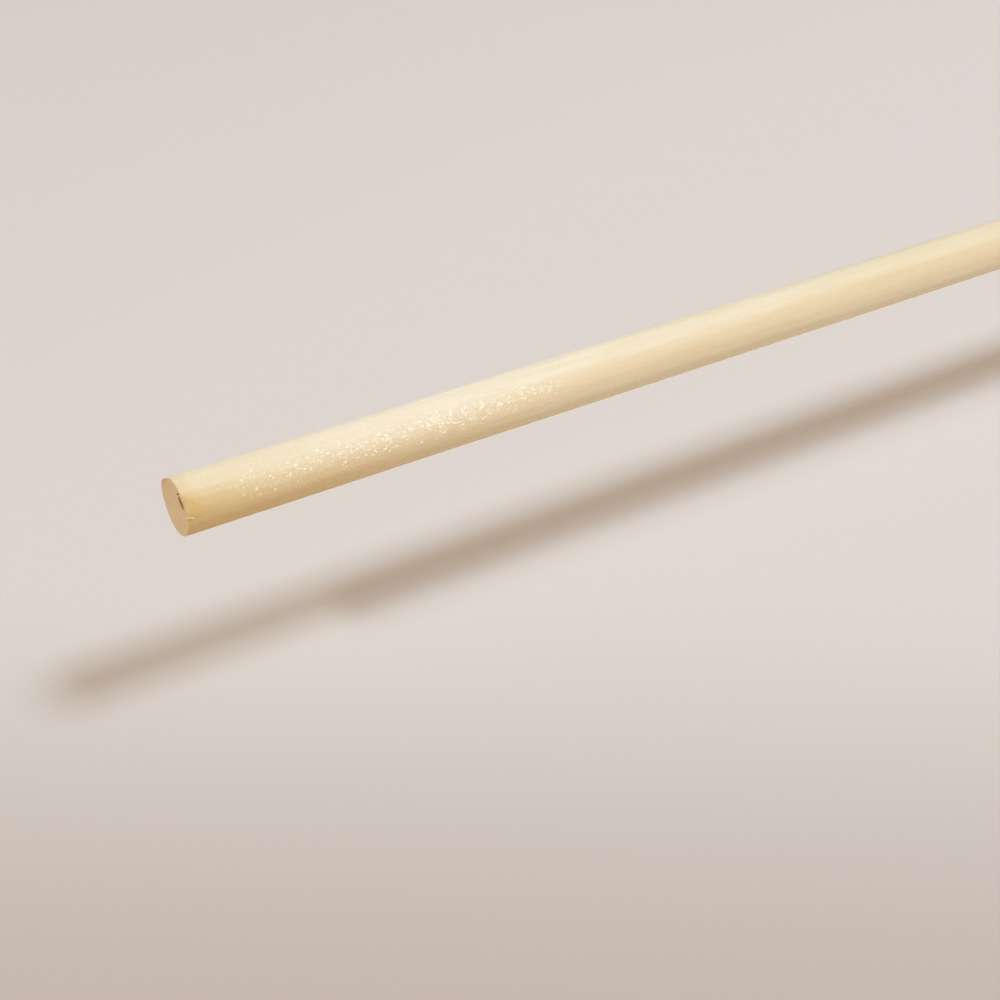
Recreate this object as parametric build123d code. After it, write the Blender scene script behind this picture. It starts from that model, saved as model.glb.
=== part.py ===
from build123d import *
import os
from math import pi, sin, sqrt

# Wooden dowel rod: one straight round stick, sawn square at both ends.
#
# Frame: the origin is the centre of the free end's face, +X runs along the grain to the
# held end, and +Z is up. A way round the rod is given by its clock angle in degrees:
# 0 is the top (+Z), and it grows towards the front (-Y).
# Lengths are in millimetres.

# The stock
ROD_DIAMETER = 6.35
ROD_LENGTH = 304.8
ARRIS_RADIUS = 0.1           # the saw's sharp edge, rubbed down at both ends

# The split in the free end: a straight crack just inside the rim, which bundles of fibre have
# come out of
SPLIT_CLOCK = 38.0           # the way that it faces
SPLIT_INSIDE = 0.81          # how far inside the rim its middle line runs there
SPLIT_START = -0.26          # its upper end, counted down the crack from that place
SPLIT_LENGTH = 1.52
SPLIT_BUNDLES = 9            # bundles of fibre side by side along it
SPLIT_WIDTH = 0.7            # across it, where it gapes most
SPLIT_RUN = 0.4              # down the grain, where it is deepest
SPLIT_STAGGER = 0.35         # share by which every other bundle broke shorter

# A shallow pit above the split, where a thin row of fibres tore out
PIT_CLOCK = 60.0             # the way that the row runs
PIT_INSIDE = 0.94            # how far its middle is inside the rim, counted that way
PIT_PLACE = -1.36            # and how far down across that way: so it is above the axis
PIT_LENGTH = 0.2
PIT_WIDTH = 0.7
PIT_RUN = 0.1

# A nick in the back of the rim
NICK_CLOCK = 319.0
NICK_REACH = 0.16            # in from the rim
NICK_WIDTH = 0.16
NICK_RUN = 0.12

rod_radius = ROD_DIAMETER / 2
overcut = rod_radius / 4     # how far a cutter stands clear of the wood that it starts in


def bar():
    """The whole stick, with both sawn edges rubbed down."""
    stick = Cylinder(rod_radius, ROD_LENGTH, align=(Align.CENTER, Align.CENTER, Align.MIN))
    stick = Rot(0, 90, 0) * stick
    return fillet(stick.edges().filter_by(GeomType.CIRCLE), ARRIS_RADIUS)


def pulled_bundle(facing, along, width, inner, outer, run, mouth):
    """The space that a bundle of fibre leaves when it is pulled out of the free end.

    It reaches from inner to outer, both measured from the axis the way that it faces. along is
    its middle across that way, and width its size there. Its inner wall is split run deep along
    the grain, and the break slopes from there to mouth at its outer side.
    """
    profile = [(-overcut, inner), (run, inner), (mouth, outer), (-overcut, outer)]
    grain_plane = Plane(origin=(0, -along, 0), x_dir=(1, 0, 0), z_dir=(0, -1, 0))
    section = grain_plane * Polygon(*profile, align=None)
    return Rot(facing, 0, 0) * extrude(section, width / 2, both=True)


def split():
    """The bundles of the split, each broken at its own depth and narrower towards both ends."""
    middle = rod_radius - SPLIT_INSIDE
    width = SPLIT_LENGTH / SPLIT_BUNDLES
    bundles = []
    for index in range(SPLIT_BUNDLES):
        share = (index + 0.5) / SPLIT_BUNDLES
        along = SPLIT_START + share * SPLIT_LENGTH
        gape = sqrt(sin(pi * share))
        run = SPLIT_RUN * gape * (1 - SPLIT_STAGGER * (index % 2))
        inner = middle - gape * SPLIT_WIDTH / 2
        outer = middle + gape * SPLIT_WIDTH / 2
        bundles.append(pulled_bundle(SPLIT_CLOCK, along, width, inner, outer, run, run / 2))
    return bundles


def pit():
    middle = rod_radius - PIT_INSIDE
    inner = middle - PIT_WIDTH / 2
    outer = middle + PIT_WIDTH / 2
    return pulled_bundle(
        PIT_CLOCK, PIT_PLACE, PIT_LENGTH, inner, outer, run=PIT_RUN, mouth=PIT_RUN / 2
    )


def nick():
    inner = rod_radius - NICK_REACH
    outer = rod_radius + overcut
    return pulled_bundle(
        NICK_CLOCK, 0, NICK_WIDTH, inner, outer, run=NICK_RUN, mouth=NICK_RUN
    )


def dowel_rod():
    rod = bar()
    for space in [*split(), pit(), nick()]:
        rod -= space
    return rod


os.makedirs("parts", exist_ok=True)
export_step(dowel_rod(), "parts/dowel_rod.step")
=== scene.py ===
"""Looks of the wooden dowel rod: its worn surface, split end, floor, lamps and camera."""
import math

import bmesh
import bpy
import numpy as np
from mathutils import Matrix, Vector


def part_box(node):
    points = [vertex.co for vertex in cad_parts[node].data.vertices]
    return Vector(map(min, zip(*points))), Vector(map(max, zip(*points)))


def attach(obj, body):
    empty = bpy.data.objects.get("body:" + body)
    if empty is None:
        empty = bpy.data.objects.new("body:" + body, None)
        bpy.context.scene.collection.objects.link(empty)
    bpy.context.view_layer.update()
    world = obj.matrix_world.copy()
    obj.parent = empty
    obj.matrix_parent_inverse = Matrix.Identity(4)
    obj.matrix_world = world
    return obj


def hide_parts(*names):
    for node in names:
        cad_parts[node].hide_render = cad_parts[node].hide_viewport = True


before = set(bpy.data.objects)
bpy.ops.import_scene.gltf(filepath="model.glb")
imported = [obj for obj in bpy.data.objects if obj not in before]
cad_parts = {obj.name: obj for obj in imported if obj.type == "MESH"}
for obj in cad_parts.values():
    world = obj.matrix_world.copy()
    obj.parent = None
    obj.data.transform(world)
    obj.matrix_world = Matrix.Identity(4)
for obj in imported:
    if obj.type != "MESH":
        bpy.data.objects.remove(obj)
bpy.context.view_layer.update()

# The rod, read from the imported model. Clock angles go round the rod from +Z towards -Y.
MM = 0.001
low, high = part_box("dowel_rod")
LENGTH = high.x - low.x
RADIUS = (high.z - low.z) / 2
ARRIS = 0.1 * MM                   # radius of its rubbed edges, as in the CAD part

# Its mesh
AROUND = 192                       # faces round the rod
FINEST_RING = 0.085 * MM           # spacing of the rings at the free end
RING_GROWTH = 0.0076               # and what each millimetre along the rod adds to it, in mm
FACE_RINGS = 22
FACE_CROWDING = 0.55               # below 1, the rings of a face crowd towards its rim
ARRIS_RINGS = 3
SHARP_ANGLE = 40.0                 # edges that turn more than this are shaded sharp

# Its surface: waves of raised grain along the fibres, and a slow wander off the true round
RIPPLE_SEED = 11
RIPPLE_WAVES = 46
RIPPLE_HEIGHT = 0.0045 * MM
RIPPLE_LOBES = (9, 60)             # crests of a wave, counted round the rod
RIPPLE_LENGTHS = (7, 70)           # and its length along the rod, in mm
WIDE_LOBES = 12                    # a wave with more crests than this is lower, by this power
RIPPLE_FALL = 0.6
WANDER_HEIGHT = 0.018 * MM         # from its lowest to its highest
WANDER_TURN = 31 * MM              # over this length its crests turn by half a radian
WANDER_FADE = 17 * MM              # and over this its height goes through a radian of its cycle
WANDER_PHASE = 0.6

# The split in the free end, the pit above it and the nick in the back of the rim, as the CAD
# part has them: the spaces of pulled bundles of fibre
SPLIT_CLOCK = 38.0
SPLIT_INSIDE = 0.81 * MM
SPLIT_START = -0.26 * MM
SPLIT_LENGTH = 1.52 * MM
SPLIT_BUNDLES = 9
SPLIT_WIDTH = 0.7 * MM
SPLIT_RUN = 0.4 * MM
SPLIT_STAGGER = 0.35
PIT_CLOCK = 60.0
PIT_INSIDE = 0.94 * MM
PIT_PLACE = -1.36 * MM
PIT_LENGTH = 0.2 * MM
PIT_WIDTH = 0.7 * MM
PIT_RUN = 0.1 * MM
NICK_CLOCK = 319.0
NICK_REACH = 0.16 * MM
NICK_WIDTH = 0.16 * MM
NICK_RUN = 0.12 * MM
OVERCUT = RADIUS / 4
CUTTER_OVERLAP = 1.02              # neighbouring cutters overlap, so that their cuts join

# The spur that the saw left on the back of the same rim. It grows from one clock to its
# crest and is gone at the third.
SPUR_CLOCKS = (248.0, 323.0, 339.0)
SPUR_FORWARD = 0.42 * MM
SPUR_REACH = 0.35 * MM             # in from the rim
SPUR_RUN = 0.6 * MM                # back along the side
SPUR_RAGGED = 0.06                 # half the share of it that its teeth take away
SPUR_TEETH = (17, 41)              # their two beats, counted round the rod
SPUR_TEETH_TURN = 1.0              # how far the first is turned against the second

# The splinter lifted off the front of the rim: loose at its start and sunk in at its root. It
# starts with the share tip of its full thickness, fills out by swell along its run, and closes
# until the square of its thickness is least. It bends up by curl, and its root is as deep as
# the share sink of its thickness.
SPLINTER = {"start": -0.20 * MM, "run": 1.10 * MM, "clock": 80.5, "drift": 8.0,
            "lift": 0.12 * MM, "width": 0.27 * MM, "thickness": 0.14 * MM,
            "tip": 0.5, "swell": 4, "curl": 1.3, "sink": 0.4, "least": 0.02}
SPLINTER_STEPS = 12
SLIVER_SIDES = 8

# Fibres that stand in and beside the split, each as (place along it, place across it, how deep
# its foot is, thickness, reach past the face), all in mm. Its tip leans a random way. A station
# is (share of the way to the tip, share of the width, share of the thickness).
FIBRE_SEED = 7
FIBRE_LEAN = 0.03                  # at most, in mm
FIBRE_STATIONS = [(0.0, 1.0, 1.0), (0.8, 0.9, 0.8), (1.0, 0.5, 0.5)]
STANDING_FIBRES = [
    (0.54, 0.74, 0.06, 0.22, 0.11),
    (0.10, 0.30, 0.25, 0.06, -0.05),
    (0.80, 0.36, 0.25, 0.06, 0.01),
    (1.00, 0.30, 0.25, 0.05, -0.04),
    (1.15, 0.20, 0.25, 0.06, -0.03),
]

# The camera: what it looks at, from where and through which lens
AIM = Vector((39.31, 0.016, -13.04)) * MM
AIM_DISTANCE = 208.1 * MM
AZIMUTH = -32.05
ELEVATION = 33.72
LENS = 64.42
SENSOR = 36.0
CLIP = (1 * MM, 100.0)

# Patterns in the wood are noise: PER_MM is how fine it is along X, Y and Z, and RANGE gives the
# values that it has where a colour starts to show and where it is full.

# Wood, with pale and dark streaks and fibres, and darker flecks
LIGHT_WOOD = (0.900, 0.776, 0.548, 1)
DARK_WOOD = (0.840, 0.701, 0.452, 1)
STREAKS_PER_MM = (0.012, 0.45, 0.45)
FIBRES_PER_MM = (0.11, 1.5, 1.5)
FLECKS_PER_MM = (0.9, 4.5, 4.5)
STREAK_WEIGHT = 0.5                # the fibres have the rest
TONE_RANGE = (0.34, 0.66)
FLECK_RANGE = (0.58, 0.78)
FLECK_SHARE = 0.20

# Darker and yellower towards the free end: most on the lower front, less with the distance from
# the end, and unevenly, by the streaks
YELLOW_WOOD = (0.715, 0.485, 0.175, 1)
YELLOW_CLOCK = 125.0
YELLOW_START, YELLOW_END = -18 * MM, 66 * MM
YELLOW_OFFSET = -0.25
YELLOW_STREAKS = 0.5
YELLOW_RANGE = (-0.75, 1.2)

# A yellow rim on the upper part of the sawn edge
RIM_SHARE = 0.34
RIM_END = 2.4 * MM
RIM_RANGE = (-0.3, 0.6)            # of the cosine of the angle from the top

# Painted shade in a yellower tone, in a band along the front below the highlight: at the end
# itself, then again from a start further along the rod
SHADE_BAND_CLOCK = 64.0
SHADE_BAND_HALF = 34.0
SHADE_BAND_SHARE = 0.36
SHADE_BAND_START, SHADE_BAND_END = 2 * MM, 58 * MM
TIP_SHADE_BAND_SHARE = 0.25
TIP_SHADE_BAND_END = 11 * MM

# A painted highlight: pale curls painted on the top of the wood, where the gloss shines
PAINTED_SHEEN_COLOUR = (0.95, 0.84, 0.69, 1)
PAINTED_SHEEN_CLOCK = 22.0
PAINTED_SHEEN_HALF = 48.0
PAINTED_SHEEN_MIDDLE = 26 * MM
PAINTED_SHEEN_REACH = 24 * MM
SHEEN_CURLS_PER_MM = (2.2, 3.2, 3.2)
SHEEN_CURL = 2.0
SHEEN_CURL_RANGE = (0.35, 0.65)
PAINTED_SHEEN_SHARES = (0.1, 0.34)         # between the curls and on them
# Painted shade on the wood round the split: brown on the rim beside it
SPLIT_SHADE_CLOCK = 50.0
SPLIT_SHADE_REACH = 0.75 * MM
SPLIT_SHADE_SHARE = 0.38

# Its gloss: raised grain in the soft shine, and the cut fibres that glint. Each of those leans
# a random way, by at most half of FACET_LEAN, and all of them lean by FACET_BIAS too, which
# moves the glints down the front. Along the rod they turn into the light over FACETS_RISE and
# out of it over FACETS_FALL, by FACETS_TURNED.
GRAIN_PER_MM = (3.0, 4.0, 4.0)
GRAIN_CURL = 0.6
GRAIN_HEIGHT = 0.04 * MM
FACETS_PER_MM = (3.9, 5.7, 5.7)
FACET_LEAN = (0.15, 0.66, 0.66)
FACET_BIAS = (0.0, 0.24, 0.24)
FACETS_RISE = (-4 * MM, 8 * MM)
FACETS_FALL = (38 * MM, 62 * MM)
FACETS_TURNED = 0.35

# End grain: faint growth rings, dark pores, and the ridges that the saw left
DARK_RING = (0.660, 0.470, 0.256, 1)
LIGHT_RING = (0.702, 0.501, 0.277, 1)
PORE_BROWN = (0.55, 0.35, 0.17, 1)
RINGS_PER_MM = (0.2, 0.35, 1.1)
PORES_PER_MM = (9.0, 9.0, 9.0)
SAW_PER_MM = (0.5, 0.35, 7.0)
RING_RANGE = (0.35, 0.65)
PORE_RANGE = (0.60, 0.75)
PORE_SHARE = 0.30
PORE_HEIGHT, SAW_HEIGHT = 0.006, 0.008      # in mm

# Torn wood: it starts to turn dark brown this far inside the rim and is fully dark brown at the
# second
DEEP_BROWN = (0.38, 0.22, 0.06, 1)
BROWN = (0.54, 0.34, 0.13, 1)
FRESH_DARK = (0.72, 0.50, 0.25, 1)
FRESH_LIGHT = (0.90, 0.70, 0.43, 1)
BROWN_STARTS, BROWN_ENDS = 0.08 * MM, 0.22 * MM
TORN_PER_MM = (2.0, 14.0, 14.0)
TORN_RANGE = (0.35, 0.70)
TORN_HEIGHT = 0.03 * MM

# Stage. A lamp's share is how bright it lights a white floor at the free end, where 1 renders
# as white.
FLOOR_Z = -23.5 * MM
FLOOR_HALF = 4.0                        # half of its side, in m
FLOOR_COLOUR = (0.712, 0.657, 0.590)
# A painted shadow on the floor: darker towards the camera, fading out away from the rod
PAINTED_SHADOW_FLOOR_COLOUR = (0.536, 0.455, 0.386)
PAINTED_SHADOW_SPAN = (22 * MM, -56 * MM)     # from here to there, counted away from the camera
PAINTED_SHADOW_FADES = (0.22, 0.42)         # out again, counted from the rod's middle
BACKGROUND_COLOUR = (0.72, 0.667, 0.61)
FLOOR_FADES = (0.32, 1.0)               # into the background, counted from the rod's middle
HORIZON_FILL = (1.09, 0.95, 0.855)
ZENITH_FILL = (0.208, 0.088, 0.0)
KEY_PLACE = Vector((560, -300, 1050)) * MM
KEY_COLOUR = (0.64, 0.81, 1.0)
KEY_SHARE = 0.540
KEY_SIZE = (400 * MM, 270 * MM)         # across and up
SECOND_PLACE = Vector((-1020, -146, 1080)) * MM
SECOND_COLOUR = (0.735, 0.865, 0.97)
SECOND_SHARE = 0.270
SECOND_SIZE = (370 * MM, 170 * MM)


# ---------------------------------------------------------------- node helpers

def new_material(name):
    material = bpy.data.materials.new(name)
    material.use_nodes = True
    material.node_tree.nodes.clear()
    return material, material.node_tree


def node(tree, kind, inputs=None, **settings):
    """A new node. inputs gives its sockets, by name or number, a value or another's output."""
    made = tree.nodes.new(kind)
    for name, value in settings.items():
        setattr(made, name, value)
    for key, value in (inputs or {}).items():
        if isinstance(value, bpy.types.NodeSocket):
            tree.links.new(value, made.inputs[key])
        else:
            made.inputs[key].default_value = value
    return made


def maths(tree, operation, a, b=0.0, c=0.0):
    return node(tree, "ShaderNodeMath", {0: a, 1: b, 2: c}, operation=operation).outputs[0]


def vector_maths(tree, operation, a, b=(0, 0, 0), output="Vector"):
    return node(tree, "ShaderNodeVectorMath", {0: a, 1: b}, operation=operation).outputs[output]


def mix_colour(tree, share, a, b):
    made = node(tree, "ShaderNodeMix", data_type="RGBA")
    for index, value in ((0, share), (6, a), (7, b)):
        if isinstance(value, bpy.types.NodeSocket):
            tree.links.new(value, made.inputs[index])
        else:
            made.inputs[index].default_value = value
    return made.outputs[2]


def noise(tree, place, per_mm, detail=1.0, roughness=0.5, curl=0.0):
    """Noise from 0 to 1, of a fineness given for each axis."""
    made = node(
        tree, "ShaderNodeTexNoise",
        {"Vector": stretched(tree, place, per_mm), "Scale": 1.0, "Detail": detail,
         "Roughness": roughness, "Distortion": curl},
    )
    return made.outputs[0]


def remap(tree, value, low_in, high_in, low_out=0.0, high_out=1.0):
    made = node(
        tree, "ShaderNodeMapRange",
        {0: value, 1: low_in, 2: high_in, 3: low_out, 4: high_out},
        interpolation_type="SMOOTHSTEP",
    )
    return made.outputs[0]


def stretched(tree, place, per_mm):
    """Object coordinates scaled so that along each axis a millimetre becomes per_mm."""
    return node(
        tree, "ShaderNodeMapping", {"Vector": place, "Scale": tuple(s / MM for s in per_mm)}
    ).outputs[0]


def along_rod(tree, place):
    return node(tree, "ShaderNodeSeparateXYZ", {0: place}).outputs[0]


# ---------------------------------------------------------------- materials

def wood_material():
    """Bare sanded wood with the grain along X, whose cut fibres glint, each tilted its own way."""
    material, tree = new_material("bare_wood")
    place = node(tree, "ShaderNodeTexCoord").outputs["Object"]
    streaks = noise(tree, place, STREAKS_PER_MM, detail=3.0, roughness=0.55)
    fibres = noise(tree, place, FIBRES_PER_MM, detail=3.0, roughness=0.6)
    flecks = noise(tree, place, FLECKS_PER_MM, detail=2.0)
    tone = maths(tree, "ADD", maths(tree, "MULTIPLY", streaks, STREAK_WEIGHT),
                 maths(tree, "MULTIPLY", fibres, 1 - STREAK_WEIGHT))
    colour = mix_colour(tree, remap(tree, tone, *TONE_RANGE), DARK_WOOD, LIGHT_WOOD)
    flecked = remap(tree, flecks, *FLECK_RANGE, 0.0, FLECK_SHARE)
    colour = mix_colour(tree, flecked, colour, DARK_WOOD)
    # Darker and yellower towards the free end, plus painted shade in a yellower band along the
    # front
    yellow = maths(tree, "ADD", yellow_end(tree, place, streaks), painted_shade_band(tree, place))
    colour = mix_colour(tree, yellow, colour, YELLOW_WOOD)
    # A painted highlight: a pale sheen in curls on the top
    colour = mix_colour(tree, painted_sheen_share(tree, place), colour, PAINTED_SHEEN_COLOUR)
    # Painted shade: brown round the split
    colour = mix_colour(tree, painted_split_shade_share(tree, place), colour, BROWN)

    grain = noise(tree, place, GRAIN_PER_MM, curl=GRAIN_CURL)
    grain_bump = node(
        tree, "ShaderNodeBump", {"Strength": 1.0, "Distance": GRAIN_HEIGHT, "Height": grain}
    )
    tangent = node(tree, "ShaderNodeTangent", direction_type="RADIAL", axis="X")
    shader = node(
        tree, "ShaderNodeBsdfPrincipled",
        {"Base Color": colour, "Roughness": 0.53, "IOR": 1.56, "Anisotropic": 1.0,
         "Tangent": tangent.outputs[0], "Normal": grain_bump.outputs[0],
         "Coat Weight": 0.26, "Coat Roughness": 0.19,
         "Coat Normal": tilted_facets(tree, place)},
    )
    node(tree, "ShaderNodeOutputMaterial", {"Surface": shader.outputs[0]})
    return material


def facing(tree, place, clock):
    """How much the surface there faces a clock angle: the cosine of the angle to it."""
    _, outward = on_rod(0, clock, 0)
    return vector_maths(tree, "DOT_PRODUCT", place, outward / RADIUS, "Value")


def yellow_end(tree, place, streaks):
    """How much darker and yellower the wood is at its free end, with its rim."""
    towards = maths(tree, "ADD", facing(tree, place, YELLOW_CLOCK), YELLOW_OFFSET)
    towards = maths(tree, "MULTIPLY_ADD", streaks, YELLOW_STREAKS, towards)
    along = along_rod(tree, place)
    near_end = remap(tree, along, YELLOW_END, YELLOW_START)
    rim = maths(tree, "MULTIPLY", remap(tree, facing(tree, place, 0.0), *RIM_RANGE),
                remap(tree, along, RIM_END, 0.0, 0.0, RIM_SHARE))
    return maths(tree, "MULTIPLY_ADD", remap(tree, towards, *YELLOW_RANGE), near_end, rim)


def painted_shade_band(tree, place):
    """Painted shade along the front, below the highlight, in a yellower tone."""
    edge = math.cos(math.radians(SHADE_BAND_HALF))
    across = remap(tree, facing(tree, place, SHADE_BAND_CLOCK), edge, 1.0)
    along = along_rod(tree, place)
    share = maths(tree, "ADD", remap(tree, along, SHADE_BAND_START, SHADE_BAND_END, 0.0, SHADE_BAND_SHARE),
                  remap(tree, along, TIP_SHADE_BAND_END, 0.0, 0.0, TIP_SHADE_BAND_SHARE))
    return maths(tree, "MULTIPLY", across, share)


def painted_sheen_share(tree, place):
    """Painted highlight: pale curls on the top, in a patch some way from the free end, where the
    gloss shines.
    """
    curls = noise(tree, place, SHEEN_CURLS_PER_MM, curl=SHEEN_CURL)
    edge = math.cos(math.radians(PAINTED_SHEEN_HALF))
    across = remap(tree, facing(tree, place, PAINTED_SHEEN_CLOCK), edge, 1.0)
    from_middle = maths(tree, "SUBTRACT", along_rod(tree, place), PAINTED_SHEEN_MIDDLE)
    off_middle = maths(tree, "ABSOLUTE", from_middle)
    patch = maths(tree, "MULTIPLY", across, remap(tree, off_middle, PAINTED_SHEEN_REACH, 0.0))
    return maths(tree, "MULTIPLY", patch, remap(tree, curls, *SHEEN_CURL_RANGE, *PAINTED_SHEEN_SHARES))


def painted_split_shade_share(tree, place):
    """Painted shade: brown on the rim, beside the split."""
    middle, _ = on_rod(0, SPLIT_SHADE_CLOCK, 0)
    away = vector_maths(tree, "DISTANCE", place, middle, "Value")
    return remap(tree, away, SPLIT_SHADE_REACH, 0.0, 0.0, SPLIT_SHADE_SHARE)


def tilted_facets(tree, place):
    """A normal that leans a random way in every cell.

    The cells glint in a stretch near the free end. Out of it they all turn aside.
    """
    along = along_rod(tree, place)
    turned = maths(tree, "ADD", remap(tree, along, *FACETS_RISE, -FACETS_TURNED, 0.0),
                   remap(tree, along, *FACETS_FALL, 0.0, FACETS_TURNED))
    sideways = node(tree, "ShaderNodeCombineXYZ", {0: turned}).outputs[0]
    bias = vector_maths(tree, "ADD", FACET_BIAS, sideways)
    cells = node(
        tree, "ShaderNodeTexVoronoi",
        {"Vector": stretched(tree, place, FACETS_PER_MM), "Scale": 1.0},
    )
    random = vector_maths(tree, "SUBTRACT", cells.outputs["Color"], (0.5, 0.5, 0.5))
    lean = vector_maths(tree, "ADD", vector_maths(tree, "MULTIPLY", random, FACET_LEAN), bias)
    outward = node(tree, "ShaderNodeNewGeometry").outputs["Normal"]
    return vector_maths(tree, "NORMALIZE", vector_maths(tree, "ADD", outward, lean))


def end_grain_material():
    """The sawn end: cut fibres seen end on, so darker, matt, with pores and faint saw marks."""
    material, tree = new_material("end_grain")
    place = node(tree, "ShaderNodeTexCoord").outputs["Object"]
    pores = noise(tree, place, PORES_PER_MM)
    rings = noise(tree, place, RINGS_PER_MM, detail=2.0)
    saw = noise(tree, place, SAW_PER_MM)
    colour = mix_colour(tree, remap(tree, rings, *RING_RANGE), DARK_RING, LIGHT_RING)
    porous = remap(tree, pores, *PORE_RANGE, 0.0, PORE_SHARE)
    colour = mix_colour(tree, porous, colour, PORE_BROWN)
    height = maths(tree, "ADD", maths(tree, "MULTIPLY", pores, PORE_HEIGHT),
                   maths(tree, "MULTIPLY", saw, SAW_HEIGHT))
    bump = node(tree, "ShaderNodeBump", {"Strength": 1.0, "Distance": MM, "Height": height})
    shader = node(
        tree, "ShaderNodeBsdfPrincipled",
        {"Base Color": colour, "Roughness": 0.75, "Normal": bump.outputs[0]},
    )
    node(tree, "ShaderNodeOutputMaterial", {"Surface": shader.outputs[0]})
    return material


def torn_material():
    """Torn wood: darker and browner deeper in the split, and fresh and pale towards the rod's
    surface.
    """
    material, tree = new_material("torn_wood")
    place = node(tree, "ShaderNodeTexCoord").outputs["Object"]
    fibres = noise(tree, place, TORN_PER_MM, detail=2.0, roughness=0.6)
    tone = remap(tree, fibres, *TORN_RANGE)
    deep_colour = mix_colour(tree, tone, DEEP_BROWN, BROWN)
    fresh = mix_colour(tree, tone, FRESH_DARK, FRESH_LIGHT)
    across = vector_maths(tree, "MULTIPLY", place, (0, 1, 1))
    off_axis = vector_maths(tree, "LENGTH", across, output="Value")
    colour = mix_colour(
        tree, remap(tree, off_axis, RADIUS - BROWN_ENDS, RADIUS - BROWN_STARTS), deep_colour, fresh
    )
    bump = node(tree, "ShaderNodeBump",
                {"Strength": 1.0, "Distance": TORN_HEIGHT, "Height": fibres})
    shader = node(
        tree, "ShaderNodeBsdfPrincipled",
        {"Base Color": colour, "Roughness": 0.8, "Normal": bump.outputs[0]},
    )
    node(tree, "ShaderNodeOutputMaterial", {"Surface": shader.outputs[0]})
    return material


# ---------------------------------------------------------------- the rod's mesh

def ring_places():
    """Where the rings of the side lie along X: close together at the free end."""
    places = [ARRIS]
    while places[-1] < LENGTH - ARRIS:
        places.append(places[-1] + FINEST_RING + RING_GROWTH * places[-1])
    places[-1] = LENGTH - ARRIS
    return np.array(places)


def ripple(clock, x):
    """Height of the wood's surface above the true round, from long low waves."""
    random = np.random.default_rng(RIPPLE_SEED)
    total = np.zeros(np.broadcast(clock, x).shape)
    for _ in range(RIPPLE_WAVES):
        lobes = random.integers(*RIPPLE_LOBES)
        length = random.uniform(*RIPPLE_LENGTHS) * MM
        phase = random.uniform(0, 2 * math.pi)
        turn = random.uniform(0, 2 * math.pi)
        share = (WIDE_LOBES / lobes) ** RIPPLE_FALL
        total += share * np.cos(lobes * clock + turn) * np.cos(2 * math.pi * x / length + phase)
    total *= RIPPLE_HEIGHT / math.sqrt(RIPPLE_WAVES / 4)
    wander = np.cos(2 * clock + x / WANDER_TURN) * np.cos(x / WANDER_FADE + WANDER_PHASE)
    return total + WANDER_HEIGHT / 2 * wander


def rod_rings():
    """(radius, x, share of the ripple) of each ring, from face to face."""
    rings = []
    inner = RADIUS - ARRIS
    for step in range(1, FACE_RINGS + 1):
        rings.append((inner * (step / FACE_RINGS) ** FACE_CROWDING, 0.0, 0.0))
    for step in range(1, ARRIS_RINGS):
        turn = math.pi / 2 * step / ARRIS_RINGS
        rings.append((inner + ARRIS * math.sin(turn), ARRIS * (1 - math.cos(turn)), 0.5))
    rings += [(RADIUS, x, 1.0) for x in ring_places()]
    near_end = [(r, LENGTH - x, s) for r, x, s in rings[:FACE_RINGS + ARRIS_RINGS - 1]]
    return rings + near_end[::-1]


def spur(radius, x, clock):
    """How far the saw has pushed the free end's rim forward."""
    start, crest, end = (math.radians(angle) for angle in SPUR_CLOCKS)
    height = np.minimum((clock - start) / (crest - start), (end - clock) / (end - crest))
    coarse, fine = SPUR_TEETH
    teeth = np.sin(coarse * clock + SPUR_TEETH_TURN) * np.sin(fine * clock)
    ragged = 1 - SPUR_RAGGED + SPUR_RAGGED * teeth
    inside = np.clip(1 - (RADIUS - radius) / SPUR_REACH, 0, 1) ** 2
    behind = np.clip(1 - x / SPUR_RUN, 0, 1) ** 2
    return SPUR_FORWARD * np.clip(height, 0, 1) * ragged * inside * behind


def rod_mesh():
    """The rod before it is cut: a grid round its side and over both faces, closed by fans."""
    rings = rod_rings()
    radius, x, share = (np.array(column)[:, None] for column in zip(*rings))
    clock = np.linspace(0, 2 * math.pi, AROUND, endpoint=False)[None, :]
    x_there = x - spur(radius, x, clock)
    radius = radius + share * ripple(clock, x)
    grid = np.stack([x_there, -radius * np.sin(clock), radius * np.cos(clock)], axis=-1)
    points = grid.reshape(-1, 3)
    count = len(points)
    points = np.vstack([points, [[0.0, 0.0, 0.0], [LENGTH, 0.0, 0.0]]])
    faces = []
    for ring in range(len(rings) - 1):
        for step in range(AROUND):
            after = (step + 1) % AROUND
            a, b = ring * AROUND + step, ring * AROUND + after
            faces.append((a, b, b + AROUND, a + AROUND))
    last = (len(rings) - 1) * AROUND
    for step in range(AROUND):
        after = (step + 1) % AROUND
        faces.append((count, after, step))
        faces.append((count + 1, last + step, last + after))
    mesh = bpy.data.meshes.new("rod")
    mesh.from_pydata(points.tolist(), [], faces)
    mesh.update()
    return mesh


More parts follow.
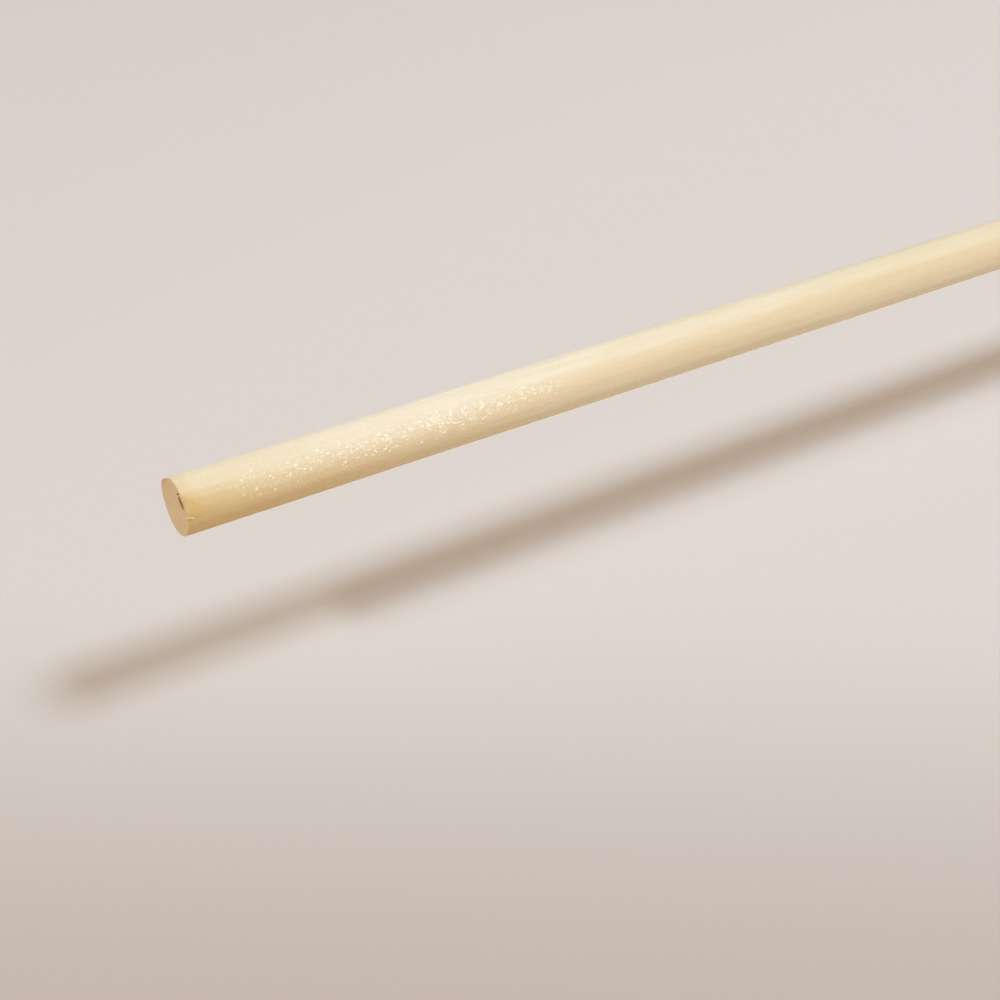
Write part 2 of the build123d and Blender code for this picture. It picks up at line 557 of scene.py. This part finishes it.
def pulled_bundle(clock, along, width, inner, outer, run, mouth, material):
    """A cutter the shape of the space that a pulled bundle of fibre leaves, as in the CAD part."""
    profile = [(-OVERCUT, inner), (run, inner), (mouth, outer), (-OVERCUT, outer)]
    turn = Matrix.Rotation(math.radians(clock), 3, "X")
    points = [
        turn @ Vector((x, side * width / 2 - along, height))
        for side in (-1, 1) for x, height in profile
    ]
    faces = [(0, 1, 2, 3), (7, 6, 5, 4)]
    faces += [(i, i + 4, (i + 1) % 4 + 4, (i + 1) % 4) for i in range(4)]
    mesh = bpy.data.meshes.new("cutter")
    mesh.from_pydata(points, [], faces)
    bm = bmesh.new()
    bm.from_mesh(mesh)
    bmesh.ops.recalc_face_normals(bm, faces=bm.faces)
    bm.to_mesh(mesh)
    bm.free()
    mesh.materials.append(material)
    cutter = bpy.data.objects.new("cutter", mesh)
    bpy.context.scene.collection.objects.link(cutter)
    return cutter


def split_cutters(material):
    middle = RADIUS - SPLIT_INSIDE
    width = SPLIT_LENGTH / SPLIT_BUNDLES * CUTTER_OVERLAP
    cutters = []
    for index in range(SPLIT_BUNDLES):
        share = (index + 0.5) / SPLIT_BUNDLES
        along = SPLIT_START + share * SPLIT_LENGTH
        gape = math.sqrt(math.sin(math.pi * share))
        run = SPLIT_RUN * gape * (1 - SPLIT_STAGGER * (index % 2))
        inner = middle - gape * SPLIT_WIDTH / 2
        outer = middle + gape * SPLIT_WIDTH / 2
        cutters.append(pulled_bundle(
            SPLIT_CLOCK, along, width, inner, outer, run, run / 2, material
        ))
    return cutters


def pit_cutter(material):
    middle = RADIUS - PIT_INSIDE
    inner, outer = middle - PIT_WIDTH / 2, middle + PIT_WIDTH / 2
    return pulled_bundle(
        PIT_CLOCK, PIT_PLACE, PIT_LENGTH, inner, outer, PIT_RUN, PIT_RUN / 2, material
    )


def nick_cutter(material):
    inner, outer = RADIUS - NICK_REACH, RADIUS + OVERCUT
    return pulled_bundle(
        NICK_CLOCK, 0, NICK_WIDTH, inner, outer, NICK_RUN, NICK_RUN, material
    )


def cut(piece, cutters):
    """Takes each cutter out of piece, keeps the cutter's material on the cut, and removes it."""
    for cutter in cutters:
        modifier = piece.modifiers.new("cut", "BOOLEAN")
        modifier.operation = "DIFFERENCE"
        modifier.solver = "EXACT"
        modifier.material_mode = "TRANSFER"
        modifier.object = cutter
    graph = bpy.context.evaluated_depsgraph_get()
    cut_mesh = bpy.data.meshes.new_from_object(piece.evaluated_get(graph))
    piece.modifiers.clear()
    piece.data = cut_mesh
    for cutter in cutters:
        bpy.data.objects.remove(cutter)


def on_rod(x, clock, height):
    """The place at x, clock and height above the rod's surface, and which way is up there."""
    turn = math.radians(clock)
    outward = Vector((0, -math.sin(turn), math.cos(turn)))
    return Vector((x, 0, 0)) + outward * (RADIUS + height), outward


def add_sliver(bm, stations, slot):
    """Adds a splinter of wood. stations has (place, which way is up, width, thickness)."""
    loops = []
    for index, (place, up, width, thickness) in enumerate(stations):
        ahead = stations[min(index + 1, len(stations) - 1)][0] - stations[max(index - 1, 0)][0]
        side = ahead.cross(up).normalized()
        loop = []
        for corner in range(SLIVER_SIDES):
            turn = 2 * math.pi * corner / SLIVER_SIDES
            offset = side * math.cos(turn) * width / 2 + up * math.sin(turn) * thickness / 2
            loop.append(bm.verts.new(place + offset))
        loops.append(loop)
    faces = [bm.faces.new(loops[0]), bm.faces.new(loops[-1][::-1])]
    for here, after in zip(loops, loops[1:]):
        for corner in range(SLIVER_SIDES):
            beside = (corner + 1) % SLIVER_SIDES
            faces.append(bm.faces.new(
                (here[corner], after[corner], after[beside], here[beside])
            ))
    for face in faces:
        face.material_index = slot
        face.smooth = True


def lifted_splinter():
    """The bundle of fibre that the saw peeled off the side: free at the rim, fast at its root."""
    stations = []
    for step in range(SPLINTER_STEPS + 1):
        share = step / SPLINTER_STEPS
        body = min(1.0, SPLINTER["tip"] + SPLINTER["swell"] * share)
        body *= math.sqrt(max(1 - share ** 4, SPLINTER["least"]))
        lift = SPLINTER["lift"] * (1 - share) ** SPLINTER["curl"]
        place, up = on_rod(
            SPLINTER["start"] + share * SPLINTER["run"],
            SPLINTER["clock"] + share * SPLINTER["drift"],
            lift - SPLINTER["sink"] * SPLINTER["thickness"] * share,
        )
        stations.append((place, up, SPLINTER["width"] * body, SPLINTER["thickness"] * body))
    return stations


def standing_fibres():
    """Single fibres left standing in the split and beside it."""
    random = np.random.default_rng(FIBRE_SEED)
    turn = Matrix.Rotation(math.radians(SPLIT_CLOCK), 3, "X")
    up = turn @ Vector((0, 0, 1))
    fibres = []
    for along, across, depth, thickness, reach in STANDING_FIBRES:
        foot = turn @ Vector((depth * MM, -along * MM, RADIUS - SPLIT_INSIDE + across * MM))
        lean = turn @ (Vector((0, *random.uniform(-FIBRE_LEAN, FIBRE_LEAN, 2))) * MM)
        thick = thickness * MM
        tip = foot + lean - Vector((foot.x + reach * MM, 0, 0))
        fibres.append([
            (foot.lerp(tip, way), up, thick * wide, thick * deep)
            for way, wide, deep in FIBRE_STATIONS
        ])
    return fibres


def add_slivers(rod):
    slot = rod.data.materials.find("torn_wood")
    bm = bmesh.new()
    bm.from_mesh(rod.data)
    for stations in [lifted_splinter(), *standing_fibres()]:
        add_sliver(bm, stations, slot)
    bm.to_mesh(rod.data)
    bm.free()


def make_rod():
    wood = wood_material()
    torn = torn_material()
    rod = bpy.data.objects.new("rod", rod_mesh())
    bpy.context.scene.collection.objects.link(rod)
    rod.data.materials.append(wood)
    rod.data.materials.append(end_grain_material())
    end_grain = rod.data.materials.find("end_grain")
    for polygon in rod.data.polygons:
        if math.hypot(polygon.center.y, polygon.center.z) < RADIUS - ARRIS:
            polygon.material_index = end_grain
    cut(rod, [*split_cutters(torn), pit_cutter(torn), nick_cutter(torn)])
    rod.data.polygons.foreach_set("use_smooth", [True] * len(rod.data.polygons))
    rod.data.set_sharp_from_angle(angle=math.radians(SHARP_ANGLE))
    add_slivers(rod)
    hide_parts("dowel_rod")
    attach(rod, "root")


# ---------------------------------------------------------------- stage

def floor_material():
    """Pale and matt, with a painted shadow that makes it darker towards the camera, and lost in
    the background far from the rod.
    """
    material, tree = new_material("floor")
    place = node(tree, "ShaderNodeTexCoord").outputs["Object"]
    azimuth = math.radians(AZIMUTH)
    away = (-math.sin(azimuth), math.cos(azimuth), 0)
    depth = vector_maths(tree, "DOT_PRODUCT", place, away, "Value")
    far = vector_maths(tree, "DISTANCE", place, (LENGTH / 2, 0, FLOOR_Z), "Value")
    # A painted shadow: darker towards the camera, out to some way from the rod
    dark = maths(tree, "MULTIPLY", remap(tree, depth, *PAINTED_SHADOW_SPAN),
                 remap(tree, far, *PAINTED_SHADOW_FADES, 1.0, 0.0))
    colour = mix_colour(tree, dark, (*FLOOR_COLOUR, 1), (*PAINTED_SHADOW_FLOOR_COLOUR, 1))
    shader = node(
        tree, "ShaderNodeBsdfPrincipled",
        {"Base Color": colour, "Roughness": 0.9, "Specular IOR Level": 0.1},
    )
    glow = node(tree, "ShaderNodeEmission", {"Color": (*BACKGROUND_COLOUR, 1)})
    faded = node(
        tree, "ShaderNodeMixShader",
        {0: remap(tree, far, *FLOOR_FADES), 1: shader.outputs[0], 2: glow.outputs[0]},
    )
    node(tree, "ShaderNodeOutputMaterial", {"Surface": faded.outputs[0]})
    return material


def make_floor():
    mesh = bpy.data.meshes.new("floor")
    corners = [(-1, -1), (1, -1), (1, 1), (-1, 1)]
    points = [(x * FLOOR_HALF, y * FLOOR_HALF, FLOOR_Z) for x, y in corners]
    mesh.from_pydata(points, [], [(0, 1, 2, 3)])
    mesh.materials.append(floor_material())
    floor = bpy.data.objects.new("floor", mesh)
    bpy.context.scene.collection.objects.link(floor)


def make_lamp(name, place, size, colour, share):
    """A soft oval lamp that faces the free end of the rod and gives its share of light there."""
    light = bpy.data.lights.new(name, "AREA")
    light.shape = "ELLIPSE"
    light.size, light.size_y = size
    light.color = colour
    light.energy = share * math.pi ** 2 * place.length ** 3 / place.z
    lamp = bpy.data.objects.new(name, light)
    lamp.location = place
    lamp.rotation_mode = "QUATERNION"
    lamp.rotation_quaternion = (-place).to_track_quat("-Z", "Y")
    bpy.context.scene.collection.objects.link(lamp)


def make_world():
    """Soft light from all round, and a pale background where the camera or a gloss sees it."""
    world = bpy.data.worlds.new("studio")
    world.use_nodes = True
    tree = world.node_tree
    tree.nodes.clear()
    direction = node(tree, "ShaderNodeTexCoord").outputs["Generated"]
    height = node(tree, "ShaderNodeSeparateXYZ", {0: direction}).outputs[2]
    fill = mix_colour(tree, height, (*HORIZON_FILL, 1), (*ZENITH_FILL, 1))
    path = node(tree, "ShaderNodeLightPath").outputs
    seen = maths(tree, "MAXIMUM", path["Is Camera Ray"], path["Is Glossy Ray"])
    colour = mix_colour(tree, seen, fill, (*BACKGROUND_COLOUR, 1))
    background = node(tree, "ShaderNodeBackground", {"Color": colour, "Strength": 1.0})
    node(tree, "ShaderNodeOutputWorld", {"Surface": background.outputs[0]})
    bpy.context.scene.world = world


def make_camera():
    data = bpy.data.cameras.new("camera")
    data.sensor_width = SENSOR
    data.lens = LENS
    data.clip_start, data.clip_end = CLIP
    camera = bpy.data.objects.new("camera", data)
    azimuth, elevation = math.radians(AZIMUTH), math.radians(ELEVATION)
    back = Vector((
        math.sin(azimuth) * math.cos(elevation),
        -math.cos(azimuth) * math.cos(elevation),
        math.sin(elevation),
    ))
    camera.location = AIM + back * AIM_DISTANCE
    camera.rotation_mode = "QUATERNION"
    camera.rotation_quaternion = (-back).to_track_quat("-Z", "Y")
    bpy.context.scene.collection.objects.link(camera)
    bpy.context.scene.camera = camera


make_camera()
make_world()
make_floor()
make_lamp("key", KEY_PLACE, KEY_SIZE, KEY_COLOUR, KEY_SHARE)
make_lamp("second", SECOND_PLACE, SECOND_SIZE, SECOND_COLOUR, SECOND_SHARE)
make_rod()
bpy.context.scene.view_settings.view_transform = "Standard"
